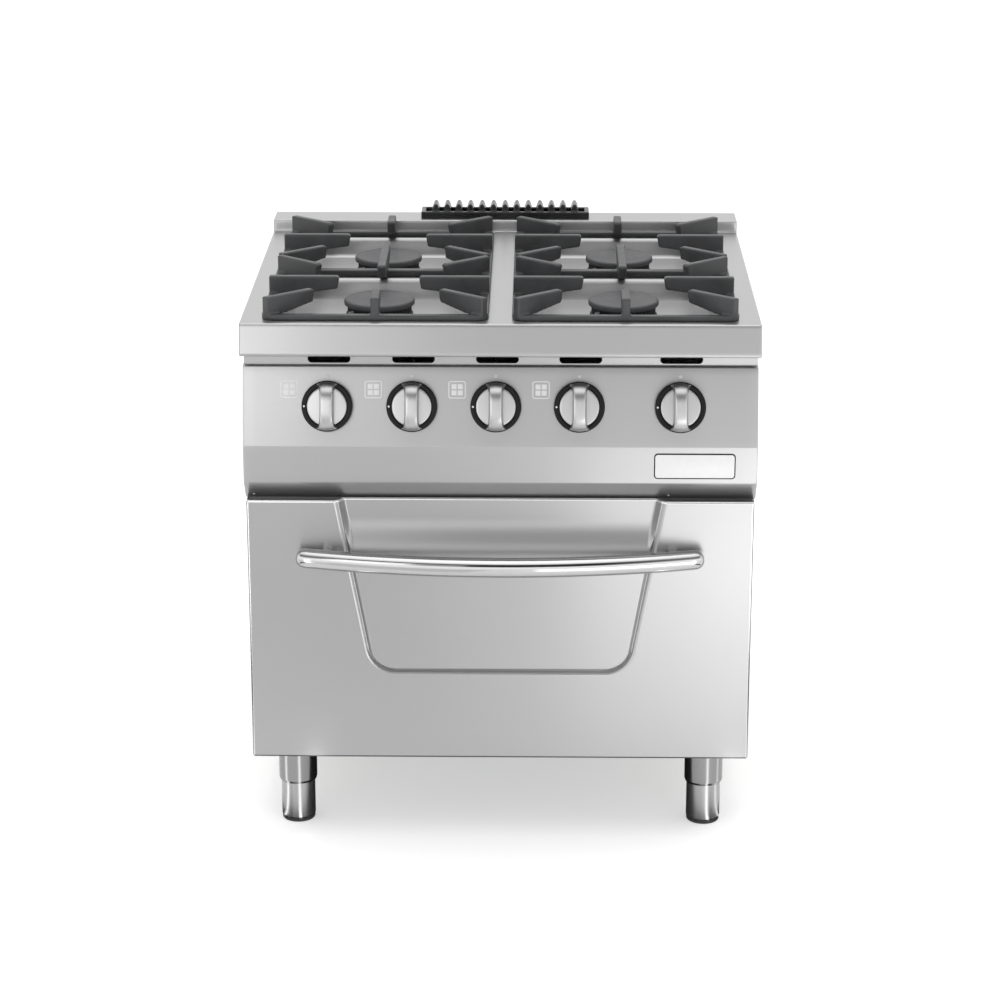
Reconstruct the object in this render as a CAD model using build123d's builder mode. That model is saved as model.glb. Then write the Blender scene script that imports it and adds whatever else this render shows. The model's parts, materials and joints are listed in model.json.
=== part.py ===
from build123d import *
from math import cos, radians, sin, sqrt
import os

os.makedirs("parts", exist_ok=True)

# Commercial gas range: four hob burners over a static gas oven, on four levelling legs.
# Millimetres, +Z up, floor at Z = 0, the front faces -Y. Depths are measured back from the
# front face of the oven door, which lies in the plane Y = FRONT.
WIDTH = 800.0
DEPTH = 700.0
HOB_Z = 850.0
HANDLE_REACH = 76.5
FRONT = -(DEPTH - HANDLE_REACH) / 2
HALF = WIDTH / 2
SHEET = 1.5

# Hob: flat 11 to 634 deep, rear upstand 20 high, leaning front apron.
FLAT_FRONT = 11.0
FLAT_BACK = 634.0
UPSTAND_Z = 870.0
APRON_Z = 800.0
APRON_LEAN = -3.0
BURNER_X = 192.5
BURNER_DEPTHS = (170.0, 460.0)
WELL_X = 300.0
WELL_DEEP = 250.0
WELL_R = 35.0
WELL_DROP = 32.0
BURNER_HOLE_R = 33.0

# Control panel folds, as (depth, height).
PANEL_FOLDS = ((33.0, 778.0), (0.0, 657.0), (0.0, 599.0), (26.0, 566.0))
PANEL_BACK = 54.0
PANEL_HALF = 398.0
KNOB_XS = (-266.5, -136.0, -6.5, 122.0, 277.5)
KNOB_Z = 717.0

# Gas train: manifold along the front, feed along the right, inlet at the rear.
MANIFOLD_DEPTH = 104.0
MANIFOLD_Z = 693.0
MANIFOLD_R = 10.48
INLET_X = 355.0
OVEN_JET_DEPTH = 135.0

# Oven door.
DOOR_HALF = 395.0
DOOR_BOTTOM = 137.0
DOOR_TOP = 564.0
DOOR_SKIN_DEEP = 36.0
HINGE_DEPTH = 30.0
HINGE_Z = 150.0
HINGE_X = 355.0
HANDLE_R = 15.5
HANDLE_HALF = 317.0
HANDLE_BOW = 45.0
HANDLE_Z = 481.0
HANDLE_POST_X = 270.0

# Oven.
OVEN_HALF = 290.0
OVEN_FLOOR_Z = 222.0
OVEN_ROOF_Z = 522.0
OVEN_BACK = 620.0
OVEN_BASE_Z = 160.5
FRAME_DEPTH = 46.0

# Legs.
LEG_X = 330.0
LEG_DEPTHS = (77.0, 625.0)
SLEEVE_R = 31.0
SLEEVE_BORE = 28.0
FOOT_R = 27.3
BASE_Z = 123.0
BASE_TOP = 160.0

# The panel face leans back; its outward normal and its upward direction.
_run = PANEL_FOLDS[0][0] - PANEL_FOLDS[1][0]
_rise = PANEL_FOLDS[0][1] - PANEL_FOLDS[1][1]
_slope = sqrt(_run**2 + _rise**2)
NORMAL = (0.0, -_rise / _slope, _run / _slope)
PANEL_UP = (0.0, _run / _slope, _rise / _slope)
KNOB_DEPTH = (KNOB_Z - PANEL_FOLDS[1][1]) * _run / _rise


def block(x0, x1, d0, d1, z0, z1, mode=Mode.ADD):
    """A box between two x, two depths behind the door front and two heights."""
    with Locations(((x0 + x1) / 2, FRONT + (d0 + d1) / 2, (z0 + z1) / 2)):
        Box(x1 - x0, d1 - d0, z1 - z0, mode=mode)


def mirrored_blocks(x0, x1, d0, d1, z0, z1, mode=Mode.ADD):
    """The same box on the right and on the left."""
    block(x0, x1, d0, d1, z0, z1, mode)
    block(-x1, -x0, d0, d1, z0, z1, mode)


def side_profile(points, x0, x1, mode=Mode.ADD):
    """A (depth, height) outline extruded across the range from x0 to x1."""
    with BuildSketch(Plane.YZ.offset(x0)) as outline:
        Polygon(*[(FRONT + d, z) for d, z in points], align=None)
    extrude(outline.sketch, amount=x1 - x0, mode=mode)


def panel_plane(x, height=0.0):
    """Plane on the leaning panel face at a knob, lifted outward by height."""
    origin = (
        x,
        FRONT + KNOB_DEPTH + NORMAL[1] * height,
        KNOB_Z + NORMAL[2] * height,
    )
    return Plane(origin=origin, x_dir=(1, 0, 0), z_dir=NORMAL)


def pipe(points, radius, bend):
    """A round pipe along filleted straight runs; points are (x, depth, z)."""
    run = [(x, FRONT + d, z) for x, d, z in points]
    with BuildLine() as centre:
        FilletPolyline(*run, radius=bend)
    path = centre.wire()
    with BuildSketch(Plane(origin=path @ 0, z_dir=path % 0)) as bore:
        Circle(radius)
    sweep(bore.sketch, path=path)


def along_y(x, d0, d1, z, radius, mode=Mode.ADD):
    """A cylinder along Y between two depths."""
    with BuildSketch(Plane.XZ.offset(-(FRONT + d0))) as end:
        with Locations((x, z)):
            Circle(radius)
    extrude(end.sketch, amount=-(d1 - d0), mode=mode)


def along_x(x0, x1, d, z, radius, mode=Mode.ADD):
    """A cylinder along X between two x."""
    with BuildSketch(Plane.YZ.offset(x0)) as end:
        with Locations((FRONT + d, z)):
            Circle(radius)
    extrude(end.sketch, amount=x1 - x0, mode=mode)


def save(builder, name):
    builder.part.label = name
    export_step(builder.part, f"parts/{name}.step")


# ---------------------------------------------------------------- base frame and legs
# Open-topped channel ring with a plate in each corner for a leg.
with BuildPart() as base_frame:
    block(-396, 396, 48, 696, BASE_Z, BASE_TOP)
    block(-361, 361, 83, 661, BASE_Z - 1, BASE_TOP + 1, Mode.SUBTRACT)
    block(-394, 394, 50, 694, BASE_Z + 2, BASE_TOP + 1, Mode.SUBTRACT)
    block(-363, 363, 81, 663, BASE_Z + 2, BASE_TOP)
    block(-361, 361, 83, 661, BASE_Z - 1, BASE_TOP + 1, Mode.SUBTRACT)
    for d0 in (48, 586):
        mirrored_blocks(286, 396, d0, d0 + 110, BASE_Z, BASE_Z + 3)
save(base_frame, "base_frame")

leg_points = [(x, FRONT + d) for d in LEG_DEPTHS for x in (-LEG_X, LEG_X)]
with BuildPart() as leg_sleeves:
    with BuildSketch(Plane.XY.offset(73)):
        with Locations(*leg_points):
            Circle(SLEEVE_R)
            Circle(SLEEVE_BORE, mode=Mode.SUBTRACT)
    extrude(amount=BASE_Z - 5 - 73)
    with BuildSketch(Plane.XY.offset(73)):
        with Locations(*leg_points):
            Circle(SLEEVE_R)
            Circle(SLEEVE_BORE, mode=Mode.SUBTRACT)
    extrude(amount=-4, taper=18)
    with BuildSketch(Plane.XY.offset(BASE_Z - 5)):
        with Locations(*leg_points):
            RectangleRounded(74, 58, 6)
            Circle(8.5, mode=Mode.SUBTRACT)
    extrude(amount=4.9)
    with BuildSketch(Plane.XY.offset(68)):
        with Locations(*leg_points):
            Circle(SLEEVE_BORE)
    extrude(amount=BASE_Z - 5 - 68, mode=Mode.SUBTRACT)
save(leg_sleeves, "leg_sleeves")

foot_names = ("front_left", "front_right", "rear_left", "rear_right")
for name, spot in zip(foot_names, leg_points):
    with BuildPart() as foot:
        with BuildSketch(Plane.XY.offset(7)):
            with Locations(spot):
                Circle(FOOT_R)
        extrude(amount=97)
        chamfer(foot.edges().sort_by(Axis.Z)[0], 1.5)
        with BuildSketch(Plane.XY.offset(10)):
            with Locations(spot):
                Circle(FOOT_R - 2)
                Circle(9, mode=Mode.SUBTRACT)
        extrude(amount=95, mode=Mode.SUBTRACT)
        with BuildSketch(Plane.XY.offset(100)):
            with Locations(spot):
                Circle(8)
        extrude(amount=17)
    save(foot, f"foot_{name}")
    with BuildPart() as pad:
        with BuildSketch(Plane.XY):
            with Locations(spot):
                Circle(26.5)
        extrude(amount=6.9)
        fillet(pad.edges().sort_by(Axis.Z)[0], 2)
    save(pad, f"foot_pad_{name}")

# ---------------------------------------------------------------- outer panels
side_outline = ((48, BASE_Z), (48, 562), (55, 562), (55, 846), (697, 846), (697, BASE_Z))
with BuildPart() as side_panels:
    side_profile(side_outline, -398, -396.6)
    side_profile(side_outline, 396.6, 398)
    mirrored_blocks(376, 398, 695.6, 697, 165, 840)
save(side_panels, "side_panels")

with BuildPart() as back_panel:
    block(-395.5, 395.5, 692, 693.4, 162, 796)
    block(-395.5, 395.5, 680, 692, 162, 163.4)
    for row in range(6):
        z = 230 + 22 * row
        block(-120, 120, 691, 694, z, z + 7, Mode.SUBTRACT)
    along_y(INLET_X, 690, 696, MANIFOLD_Z, 13, Mode.SUBTRACT)
save(back_panel, "back_panel")

# ---------------------------------------------------------------- hob
well_points = [(x, FRONT + d) for d in BURNER_DEPTHS for x in (-BURNER_X, BURNER_X)]
hob_outside = (
    (APRON_LEAN, APRON_Z),
    (FLAT_FRONT, HOB_Z),
    (FLAT_BACK, HOB_Z),
    (FLAT_BACK, UPSTAND_Z),
    (DEPTH, UPSTAND_Z),
    (DEPTH, APRON_Z),
)
hob_inside = (
    (APRON_LEAN + 1.2, APRON_Z - 1),
    (FLAT_FRONT + 1.2, HOB_Z - SHEET),
    (FLAT_BACK + SHEET, HOB_Z - SHEET),
    (FLAT_BACK + SHEET, UPSTAND_Z - SHEET),
    (DEPTH - SHEET, UPSTAND_Z - SHEET),
    (DEPTH - SHEET, APRON_Z - 1),
)
with BuildPart() as well_presses:
    with BuildSketch(Plane.XY.offset(HOB_Z)):
        with Locations(*well_points):
            RectangleRounded(WELL_X, WELL_DEEP, WELL_R)
    extrude(amount=-WELL_DROP, taper=18)

with BuildPart() as hob_top:
    side_profile(hob_outside, -HALF, HALF)
    fillet(hob_top.edges().filter_by(Axis.X).group_by(Axis.Y)[1], 3)
    side_profile(hob_inside, -HALF + SHEET, HALF - SHEET, Mode.SUBTRACT)
    add(well_presses.part, mode=Mode.SUBTRACT)
    block(-122, 122, 651, 685, UPSTAND_Z - 3, UPSTAND_Z + 1, Mode.SUBTRACT)
save(hob_top, "hob_top")

# The four wells are pressed pans seam-welded under the holes in the hob top.
with BuildPart() as spill_wells:
    with BuildSketch(Plane.XY.offset(HOB_Z)):
        with Locations(*well_points):
            RectangleRounded(WELL_X + 2 * SHEET, WELL_DEEP + 2 * SHEET, WELL_R + SHEET)
    extrude(amount=-WELL_DROP - SHEET, taper=18)
    add(well_presses.part, mode=Mode.SUBTRACT)
    block(-HALF, HALF, 0, DEPTH, HOB_Z - SHEET, HOB_Z + 1, Mode.SUBTRACT)
    with BuildSketch(Plane.XY.offset(HOB_Z)):
        with Locations(*well_points):
            Circle(BURNER_HOLE_R)
    extrude(amount=-WELL_DROP - 5, mode=Mode.SUBTRACT)
save(spill_wells, "spill_wells")

# Vented strip set back under the hob apron.
with BuildPart() as front_vent_rail:
    block(-396, 396, 38, 39.5, 778.2, 846)
    with BuildSketch(Plane.XZ.offset(-(FRONT + 38))):
        with Locations(*[(x + 2, 787) for x in KNOB_XS]):
            SlotOverall(66, 13)
    extrude(amount=-4, mode=Mode.SUBTRACT)
save(front_vent_rail, "front_vent_rail")

# ---------------------------------------------------------------- control panel
inner_folds = ((34.6, 776.5), (1.5, 656.8), (1.5, 599.6), (26.7, 567.5))
with BuildPart() as control_panel:
    outline = PANEL_FOLDS + ((PANEL_BACK, 566.0), (PANEL_BACK, 778.0))
    side_profile(outline, -PANEL_HALF, PANEL_HALF)
    inside = inner_folds + ((PANEL_BACK + 1, 567.5), (PANEL_BACK + 1, 776.5))
    side_profile(inside, -PANEL_HALF + SHEET, PANEL_HALF - SHEET, Mode.SUBTRACT)
    for x in KNOB_XS:
        with BuildSketch(panel_plane(x, 5)):
            Circle(9)
        extrude(amount=-12, mode=Mode.SUBTRACT)
save(control_panel, "control_panel")

with BuildPart() as name_plate:
    with BuildSketch(Plane.XZ.offset(-FRONT + 0.05)):
        with Locations((301, 627)):
            RectangleRounded(126, 41, 6)
    extrude(amount=1.2)
    chamfer(name_plate.faces().sort_by(Axis.Y)[0].edges(), 0.4)
save(name_plate, "name_plate")

# ---------------------------------------------------------------- gas train
with BuildPart() as gas_manifold:
    run = (
        (-300, MANIFOLD_DEPTH, MANIFOLD_Z),
        (INLET_X, MANIFOLD_DEPTH, MANIFOLD_Z),
        (INLET_X, 699, MANIFOLD_Z),
    )
    pipe(run, MANIFOLD_R, 40)
    along_x(-306, -294, MANIFOLD_DEPTH, MANIFOLD_Z, 13)
    with BuildSketch(Plane.XZ.offset(-(FRONT + 664))):
        with Locations((INLET_X, MANIFOLD_Z)):
            RegularPolygon(16, 6)
    extrude(amount=-14)
save(gas_manifold, "gas_manifold")

# Each tap clamps on the manifold behind it and takes the spindle from the front.
with BuildPart() as gas_taps:
    for x in KNOB_XS:
        with BuildSketch(panel_plane(x, -14)):
            Circle(15)
        extrude(amount=-52)
        block(x - 12, x + 12, 74, 98, 686, 704)
        block(x - 8, x + 8, 52, 70, 706, 728)
        along_x(x - 13, x + 13, MANIFOLD_DEPTH, MANIFOLD_Z, MANIFOLD_R + 0.1, Mode.SUBTRACT)
        with BuildSketch(panel_plane(x, -13)):
            Circle(4.08)
        extrude(amount=-42, mode=Mode.SUBTRACT)
save(gas_taps, "gas_taps")

# Copper feeds from the taps to the four jets and to the oven burner.
PIPE_R = 4.0
TAP_OUT = 61.0
feeds = (
    (KNOB_XS[0], -BURNER_X, 0),
    (KNOB_XS[1], -BURNER_X, 1),
    (KNOB_XS[2], BURNER_X, 1),
    (KNOB_XS[3], BURNER_X, 0),
)
with BuildPart() as gas_feed_pipes:
    for tap_x, burner_x, rear in feeds:
        level = 750.0 if rear else 768.0
        jet = BURNER_DEPTHS[rear] - 118
        run = [(tap_x, TAP_OUT, 728.1), (tap_x, TAP_OUT, level)]
        if rear:
            run.append((tap_x, jet, level))
            run.append((burner_x, jet, level))
        else:
            run.append((burner_x, TAP_OUT, level))
            run.append((burner_x, jet, level))
        run.append((burner_x, jet, 792))
        if not rear:
            run = run[:3] + [(burner_x, TAP_OUT, 792)]
        pipe(run, PIPE_R, 8)
    pipe(
        (
            (KNOB_XS[4], TAP_OUT, 728.1),
            (KNOB_XS[4], TAP_OUT, 757),
            (329, TAP_OUT, 757),
            (329, OVEN_JET_DEPTH, 757),
            (329, OVEN_JET_DEPTH, 197),
            (268, OVEN_JET_DEPTH, 197),
        ),
        PIPE_R,
        8,
    )
save(gas_feed_pipes, "gas_feed_pipes")

# ---------------------------------------------------------------- hob burners
WELL_Z = HOB_Z - WELL_DROP
with BuildPart() as burner_venturis:
    for x in (-BURNER_X, BURNER_X):
        for d in BURNER_DEPTHS:
            with BuildSketch(Plane.XY.offset(784)):
                with Locations((x, FRONT + d)):
                    Circle(44)
            extrude(amount=WELL_Z - SHEET - 784 - 0.1)
            along_y(x, d - 96, d, 799, 13)
            with BuildSketch(Plane.XY.offset(787)):
                with Locations((x, FRONT + d)):
                    Circle(31.2)
            extrude(amount=40, mode=Mode.SUBTRACT)
            along_y(x, d - 97, d, 799, 10, Mode.SUBTRACT)
save(burner_venturis, "burner_venturis")

with BuildPart() as burner_heads:
    with BuildSketch(Plane.XY.offset(WELL_Z + 0.1)):
        with Locations(*well_points):
            Circle(53)
    extrude(amount=22.9)
    with BuildSketch(Plane.XY.offset(803)):
        with Locations(*well_points):
            Circle(31)
    extrude(amount=WELL_Z - 803 + 1)
    with BuildSketch(Plane.XY.offset(800)):
        with Locations(*well_points):
            Circle(27)
    extrude(amount=60, mode=Mode.SUBTRACT)
save(burner_heads, "burner_heads")

with BuildPart() as burner_caps:
    with BuildSketch(Plane.XY.offset(WELL_Z + 23)):
        with Locations(*well_points):
            Circle(55.5)
    extrude(amount=HOB_Z - WELL_Z - 23)
    chamfer(burner_caps.edges().filter_by(GeomType.CIRCLE).group_by(Axis.Z)[-1], 1.2)
    with BuildSketch(Plane.XY.offset(WELL_Z + 15)):
        with Locations(*well_points):
            Circle(26.7)
            Circle(23, mode=Mode.SUBTRACT)
    extrude(amount=9)
save(burner_caps, "burner_caps")

with BuildPart() as pilot_burners:
    for x, y in well_points:
        with BuildSketch(Plane.XY.offset(WELL_Z + 0.1)):
            with Locations((x - 44, y - 44)):
                RectangleRounded(14, 14, 3)
        extrude(amount=12)
        with BuildSketch(Plane.XY.offset(WELL_Z + 12)):
            with Locations((x - 44, y - 47), (x - 40, y - 41)):
                Circle(2.2)
        extrude(amount=9)
save(pilot_burners, "pilot_burners")

# ---------------------------------------------------------------- pan grates
GRATE_HALF_X = 174.5
GRATE_FRONT = 26.0
GRATE_BACK = 604.0
GRATE_BOTTOM = HOB_Z + 0.5
GRATE_TOP = 886.0
RAIL_TOP = 859.0
BAR = 13.0


def finger(x0, d0, x1, d1, thick):
    """A tall plate from the frame (x0, d0) to a tip (x1, d1); its bottom rises to the tip."""
    length = sqrt((x1 - x0) ** 2 + (d1 - d0) ** 2)
    along = ((x1 - x0) / length, (d1 - d0) / length, 0)
    across = (along[1], -along[0], 0)
    base = Plane(origin=(x0, FRONT + d0, 0), x_dir=along, z_dir=across)
    with BuildSketch(base.offset(-thick / 2)) as plate:
        Polygon(
            (0, GRATE_BOTTOM + 3),
            (length * 0.45, GRATE_BOTTOM + 7),
            (length, GRATE_TOP - 20),
            (length + 3, GRATE_TOP - 3),
            (length, GRATE_TOP),
            (0, GRATE_TOP),
            align=None,
        )
    extrude(plate.sketch, amount=thick)


def build_grate(cx):
    with BuildPart() as grate:
        with BuildSketch(Plane.XY.offset(GRATE_BOTTOM)):
            with Locations((cx, FRONT + (GRATE_FRONT + GRATE_BACK) / 2)):
                RectangleRounded(2 * GRATE_HALF_X, GRATE_BACK - GRATE_FRONT, 20)
                RectangleRounded(
                    2 * GRATE_HALF_X - 2 * BAR,
                    GRATE_BACK - GRATE_FRONT - 2 * BAR,
                    10,
                    mode=Mode.SUBTRACT,
                )
        extrude(amount=RAIL_TOP - GRATE_BOTTOM)
        middle = (GRATE_FRONT + GRATE_BACK) / 2
        block(cx - 170, cx + 170, middle - 8, middle + 8, GRATE_BOTTOM, RAIL_TOP + 2)
        for side in (-1, 1):
            edge = cx + side * (GRATE_HALF_X - 1)
            for d in BURNER_DEPTHS:
                finger(edge, d, cx + side * 66, d, 13)
            corner = cx + side * (GRATE_HALF_X - 6)
            tip = cx + side * 102
            finger(corner, GRATE_FRONT + 6, tip, GRATE_FRONT + 62, 12)
            finger(corner, middle - 6, tip, middle - 62, 12)
            finger(corner, middle + 6, tip, middle + 62, 12)
            finger(corner, GRATE_BACK - 6, tip, GRATE_BACK - 62, 12)
        finger(cx, GRATE_FRONT + 1, cx, GRATE_FRONT + 62, 13)
        finger(cx, middle, cx, middle - 76, 13)
        finger(cx, middle, cx, middle + 76, 13)
        finger(cx, GRATE_BACK - 1, cx, GRATE_BACK - 50, 13)
    return grate


save(build_grate(-BURNER_X), "grate_left")
save(build_grate(BURNER_X), "grate_right")

# ---------------------------------------------------------------- flue
with BuildPart() as flue_duct:
    block(-119, 119, 653, 683, 486, 868)
    block(-112, 112, 621.6, 654, 488, 516)
    block(-117.8, 117.8, 654.2, 681.8, 487.2, 869, Mode.SUBTRACT)
    block(-110.8, 110.8, 620, 656, 489.2, 514.8, Mode.SUBTRACT)
save(flue_duct, "flue_duct")

FLUE_HALF = 145.0
FLUE_FRONT = 646.0
FLUE_BACK = 690.0
with BuildPart() as flue_cover:
    block(-FLUE_HALF, FLUE_HALF, FLUE_FRONT, FLUE_BACK, UPSTAND_Z + 0.1, UPSTAND_Z + 12)
    block(-137, 137, 653, 683, UPSTAND_Z, UPSTAND_Z + 13, Mode.SUBTRACT)
    with BuildSketch(Plane.XZ.offset(-(FRONT + FLUE_FRONT + 3))):
        for i in range(13):
            cx = 20.0 * (i - 6)
            base = UPSTAND_Z + 8
            Polygon(
                (cx - 6.4, base),
                (cx + 6.4, base),
                (cx + 6.0, base + 8),
                (cx + 3.8, base + 14),
                (cx + 1.6, base + 17),
                (cx - 1.6, base + 17),
                (cx - 3.8, base + 14),
                (cx - 6.0, base + 8),
                align=None,
            )
    extrude(amount=-(FLUE_BACK - FLUE_FRONT - 6))
save(flue_cover, "flue_cover")

# ---------------------------------------------------------------- oven
with BuildPart() as oven_cavity:
    block(-291.2, 291.2, 47.6, OVEN_BACK + 1.2, OVEN_BASE_Z, OVEN_ROOF_Z + 1.2)
    block(-290, 290, 47, OVEN_BACK, OVEN_BASE_Z + 1.2, OVEN_ROOF_Z, Mode.SUBTRACT)
    block(-110, 110, OVEN_BACK - 1, OVEN_BACK + 3, 490, 514, Mode.SUBTRACT)
    for d in (180, 320, 460):
        block(-200, 200, d, d + 30, OVEN_BASE_Z - 1, OVEN_BASE_Z + 3, Mode.SUBTRACT)
    along_x(285, 300, OVEN_JET_DEPTH, 197, 8, Mode.SUBTRACT)
save(oven_cavity, "oven_cavity")

with BuildPart() as oven_insulation:
    block(-318, 318, 49, 648, 162, 550)
    block(-291.4, 291.4, 48, 621.5, 161, 523.4, Mode.SUBTRACT)
    block(-112.3, 112.3, 620, 650, 487.7, 516.3, Mode.SUBTRACT)
    along_x(285, 320, OVEN_JET_DEPTH, 197, 8, Mode.SUBTRACT)
save(oven_insulation, "oven_insulation")

with BuildPart() as oven_front_frame:
    block(-395, 395, FRAME_DEPTH, FRAME_DEPTH + 1.5, 161, 562)
    block(-289, 289, 45, 49, OVEN_FLOOR_Z, OVEN_ROOF_Z, Mode.SUBTRACT)
save(oven_front_frame, "oven_front_frame")

with BuildPart() as oven_gasket:
    with BuildSketch(Plane.XZ.offset(-(FRONT + 38))):
        with Locations((0, 372)):
            RectangleRounded(602, 324, 14)
            RectangleRounded(582, 304, 8, mode=Mode.SUBTRACT)
    extrude(amount=-7.9)
save(oven_gasket, "oven_gasket")

# Inverted tray over the oven burner.
with BuildPart() as oven_floor_plate:
    block(-286, 286, 52, 612, 161.9, OVEN_FLOOR_Z + 4)
    block(-284.5, 284.5, 50, 614, 160, OVEN_FLOOR_Z, Mode.SUBTRACT)
    for i in range(5):
        block(-220, 220, 110 + 100 * i, 122 + 100 * i, 220, 230, Mode.SUBTRACT)
    block(280, 290, OVEN_JET_DEPTH - 10, OVEN_JET_DEPTH + 10, 160, 207, Mode.SUBTRACT)
save(oven_floor_plate, "oven_floor_plate")

with BuildPart() as oven_burner:
    run = (
        (266, OVEN_JET_DEPTH, 197),
        (-200, OVEN_JET_DEPTH, 197),
        (-200, 530, 197),
        (220, 530, 197),
    )
    pipe(run, 14, 45)
    along_x(205, 267, OVEN_JET_DEPTH, 197, 10, Mode.SUBTRACT)
save(oven_burner, "oven_burner")

with BuildPart() as shelf_racks:
    for x in (-282, 282):
        for d in (110, 540):
            with BuildSketch(Plane.XY.offset(232)):
                with Locations((x, FRONT + d)):
                    Circle(3)
            extrude(amount=270)
        inward = x - 4 if x > 0 else x + 4
        for level in (280, 340, 400, 460):
            along_y(inward, 62, 600, level, 3)
save(shelf_racks, "shelf_racks")

SHELF_Z = 347.2
with BuildPart() as oven_shelf:
    for x in (-274.5, 274.5):
        along_y(x, 70, 592, SHELF_Z, 4)
    for d in (74, 331, 588):
        along_x(-274.5, 274.5, d, SHELF_Z, 4)
    for i in range(15):
        along_y(-252 + 36 * i, 72, 590, SHELF_Z, 2.5)
save(oven_shelf, "oven_shelf")

# ---------------------------------------------------------------- oven door
GROOVE = 8.0
GROOVE_DEEP = 6.0
SCOOP = 16.0


def door_trapezoid(grow):
    """The tapered centre field of the door front, open past the top edge."""
    with BuildSketch(Plane.XZ.offset(-FRONT + 2)) as field:
        Polygon((-259, 602), (259, 602), (201, 285), (-201, 285), align=None)
        fillet(field.vertices().group_by(Axis.Y)[0], 44)
        offset(amount=grow, kind=Kind.INTERSECTION)
    return field.sketch


def door_recess(extra):
    """Groove round the field and finger scoop above the handle, grown by extra."""
    with BuildPart() as ring:
        extrude(door_trapezoid(GROOVE / 2 + extra), amount=-GROOVE_DEEP - 2 - extra)
        extrude(
            door_trapezoid(-GROOVE / 2 - extra),
            amount=-GROOVE_DEEP - 4 - extra,
            mode=Mode.SUBTRACT,
        )
    with BuildPart() as scoop:
        extrude(door_trapezoid(-GROOVE / 2 + extra), amount=-SCOOP - 2 - extra)
        profile = (
            (-3, 610),
            (SCOOP + extra, 610),
            (SCOOP + extra, 537 - extra),
            (extra, 500 - extra),
            (-3, 500 - extra),
        )
        side_profile(profile, -300, 300, Mode.INTERSECT)
    return ring.part, scoop.part


outer_ring, outer_scoop = door_recess(0)
inner_ring, inner_scoop = door_recess(SHEET)
with BuildPart() as door_space:
    block(-393.5, 393.5, SHEET, 40, DOOR_BOTTOM + SHEET, DOOR_TOP - SHEET)
    add(inner_ring, mode=Mode.SUBTRACT)
    add(inner_scoop, mode=Mode.SUBTRACT)

with BuildPart() as door_skin:
    with BuildSketch(Plane.XZ.offset(-FRONT)):
        with Locations((0, (DOOR_BOTTOM + DOOR_TOP) / 2)):
            RectangleRounded(2 * DOOR_HALF, DOOR_TOP - DOOR_BOTTOM, 5)
    extrude(amount=-DOOR_SKIN_DEEP)
    fillet(door_skin.faces().sort_by(Axis.Y)[0].edges(), 3)
    add(outer_ring, mode=Mode.SUBTRACT)
    add(outer_scoop, mode=Mode.SUBTRACT)
    add(door_space.part, mode=Mode.SUBTRACT)
    mirrored_blocks(347, 364, 4, 40, DOOR_BOTTOM - 1, DOOR_BOTTOM + 3, Mode.SUBTRACT)
save(door_skin, "door_skin")

with BuildPart() as door_liner:
    block(-394, 394, 36.1, 37.6, 138, 563)
    block(-274, 274, 37.6, 43, 238, 508)
    block(-272.5, 272.5, 35, 41.5, 239.5, 506.5, Mode.SUBTRACT)
    mirrored_blocks(347, 364, 35, 40, 137, 180, Mode.SUBTRACT)
save(door_liner, "door_liner")

with BuildPart() as door_insulation:
    block(-335, 335, 8, 35.8, 182, 490)
save(door_insulation, "door_insulation")

HANDLE_ARC_R = (HANDLE_HALF**2 + HANDLE_BOW**2) / (2 * HANDLE_BOW)
HANDLE_NOSE = -(HANDLE_REACH - HANDLE_R)


def handle_depth(x):
    """Depth of the bowed handle's centre line at x."""
    return HANDLE_NOSE + HANDLE_ARC_R - sqrt(HANDLE_ARC_R**2 - x**2)


def handle_bar(half, radius, mode=Mode.ADD):
    with BuildLine() as centre:
        ThreePointArc(
            (-half, FRONT + handle_depth(half), HANDLE_Z),
            (0, FRONT + HANDLE_NOSE, HANDLE_Z),
            (half, FRONT + handle_depth(half), HANDLE_Z),
        )
    bow = centre.wire()
    with BuildSketch(Plane(origin=bow @ 0, z_dir=bow % 0)) as section:
        Circle(radius)
    sweep(section.sketch, path=bow, mode=mode)


with BuildPart() as door_handle:
    handle_bar(HANDLE_HALF, HANDLE_R)
    handle_bar(HANDLE_HALF - 4, HANDLE_R - 2, Mode.SUBTRACT)
save(door_handle, "door_handle")

with BuildPart() as handle_posts:
    for x in (-HANDLE_POST_X, HANDLE_POST_X):
        along_y(x, handle_depth(x), -0.05, HANDLE_Z, 11)
    handle_bar(HANDLE_HALF + 6, HANDLE_R + 0.1, Mode.SUBTRACT)
save(handle_posts, "handle_posts")

# Hinges: chassis brackets reach forward into the door, pins carry the door's arms.
with BuildPart() as hinge_brackets:
    mirrored_blocks(352, 357, 22, 47.9, 140, 160)
    mirrored_blocks(349, 360, 44, 47.9, 124, 160)
    along_x(-358, -351, HINGE_DEPTH, HINGE_Z, 4.04, Mode.SUBTRACT)
    along_x(351, 358, HINGE_DEPTH, HINGE_Z, 4.04, Mode.SUBTRACT)
save(hinge_brackets, "hinge_brackets")

with BuildPart() as hinge_pins:
    for side in (-1, 1):
        low, high = sorted((side * 350.5, side * 362.6))
        along_x(low, high, HINGE_DEPTH, HINGE_Z, 4.0)
        low, high = sorted((side * 350.4, side * 351.9))
        along_x(low, high, HINGE_DEPTH, HINGE_Z, 6.0)
save(hinge_pins, "hinge_pins")

with BuildPart() as hinge_arms:
    mirrored_blocks(358, 361, 20, 35.9, 141, 280)
    mirrored_blocks(361, 376, 34, 35.9, 190, 280)
    along_x(-362, -357, HINGE_DEPTH, HINGE_Z, 4.08, Mode.SUBTRACT)
    along_x(357, 362, HINGE_DEPTH, HINGE_Z, 4.08, Mode.SUBTRACT)
save(hinge_arms, "hinge_arms")

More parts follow.
